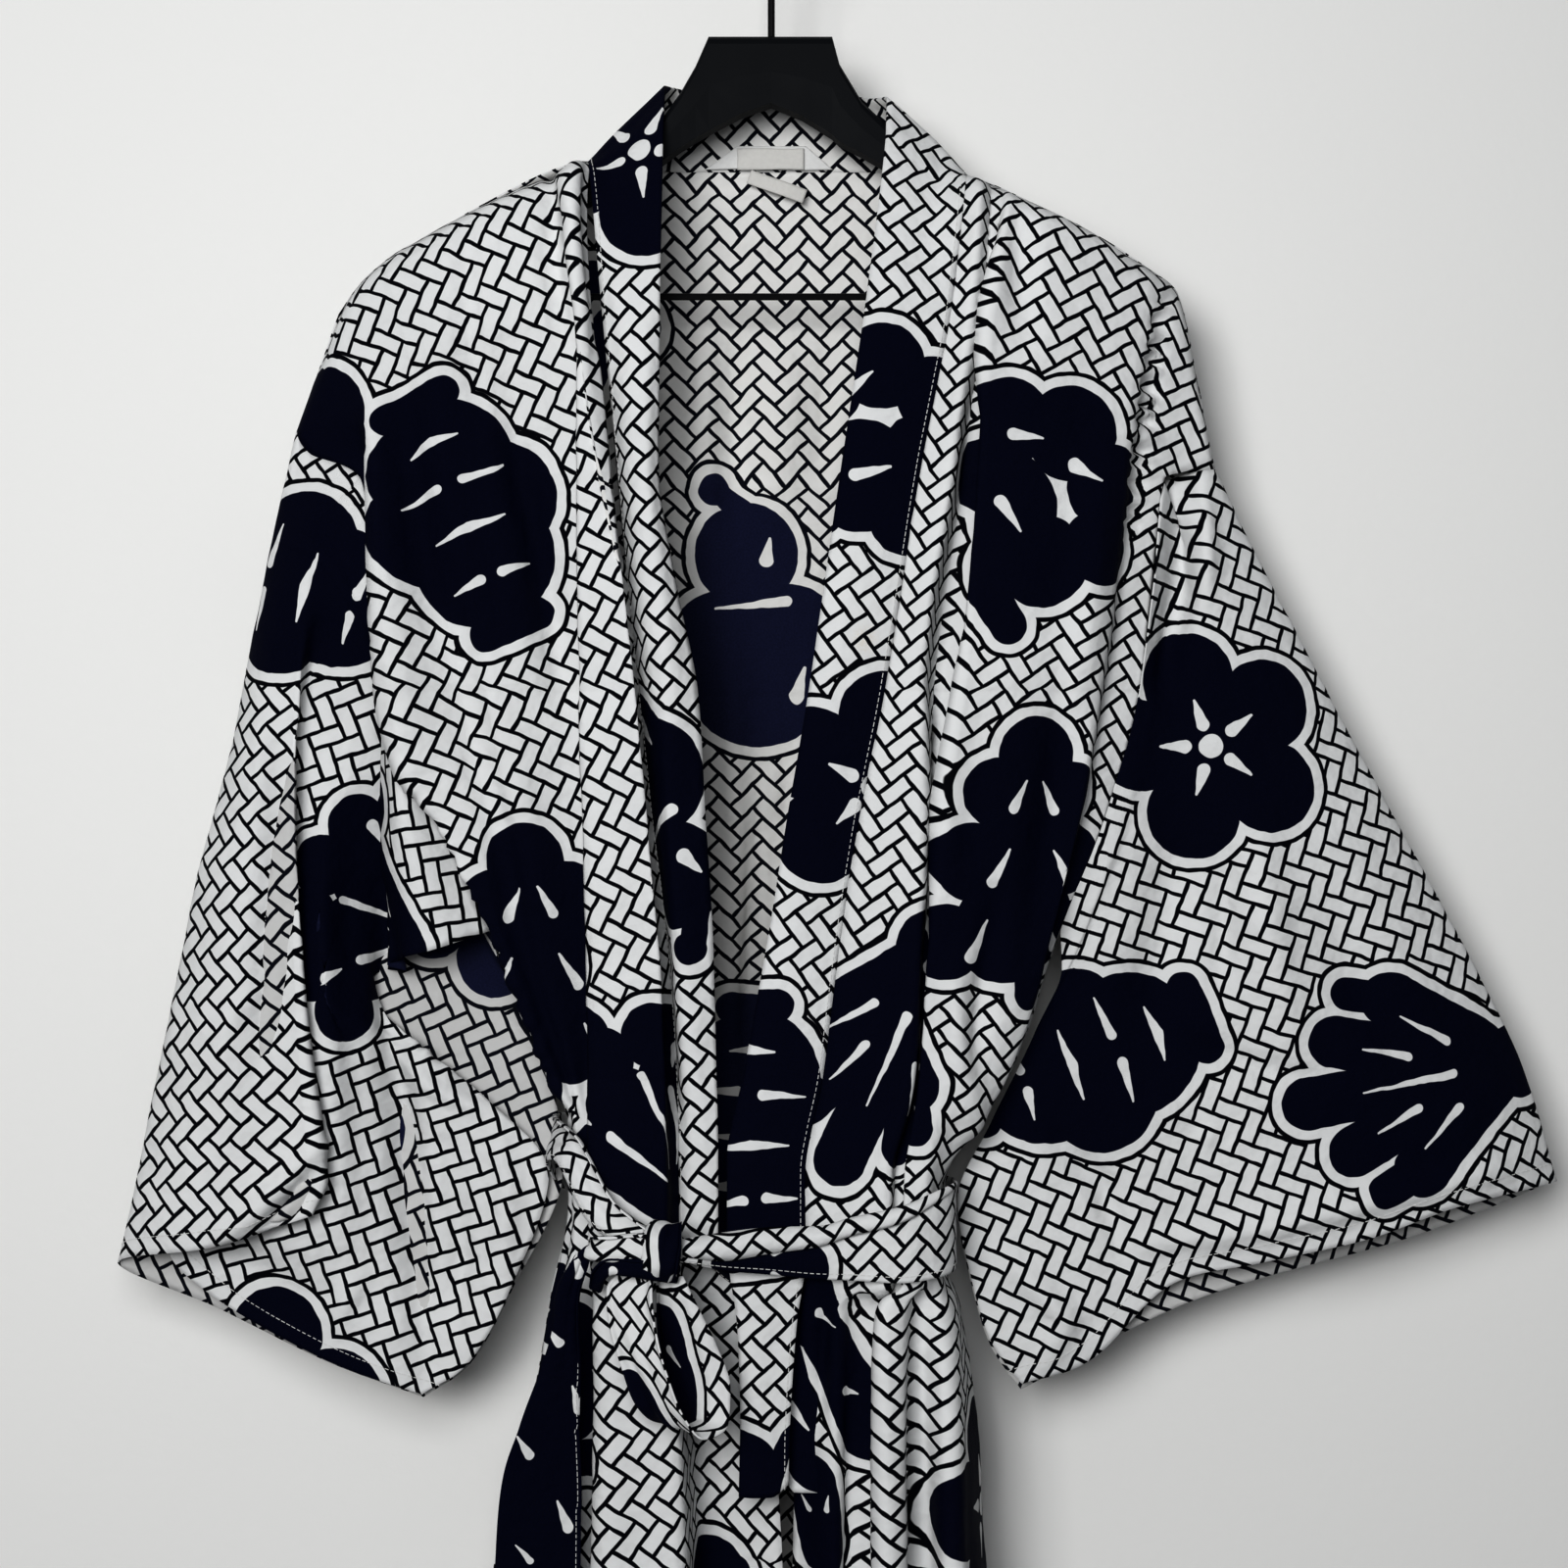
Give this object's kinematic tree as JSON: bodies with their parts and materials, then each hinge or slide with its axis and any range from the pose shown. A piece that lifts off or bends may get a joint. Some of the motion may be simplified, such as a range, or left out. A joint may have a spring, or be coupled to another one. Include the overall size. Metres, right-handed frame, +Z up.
{
  "type": "happi coat on clothes hanger",
  "caption": "Wide-sleeved kimono-style happi coat with a neckband and its own knotted tie belt, hung open-necked on a black hanger.",
  "frame": {"origin": "inside top of the hanger's hook, where a rail carries it", "axes": "+X to the right as seen from the front, +Y from the front of the coat to its back, +Z up"},
  "size_m": [0.788, 0.139, 1.1037],
  "materials": {
    "printed_cotton": "printed cotton, soft and slightly creased",
    "label_tape": "smooth woven tape",
    "black_plastic": "satin",
    "black_metal": "satin"
  },
  "bodies": {
    "root": {"hanger_body": "black_plastic", "hanger_bar": "black_plastic", "hanger_hook": "black_metal", "back": "printed_cotton", "front_left": "printed_cotton", "front_right": "printed_cotton", "sleeve_left": "printed_cotton", "sleeve_right": "printed_cotton", "neckband": "printed_cotton", "belt_wrap": "printed_cotton", "belt_knot": "printed_cotton", "belt_bow": "printed_cotton", "belt_tail": "printed_cotton", "neck_patch": "printed_cotton", "neck_label": "label_tape", "care_label": "label_tape"}
  },
  "joints": []
}
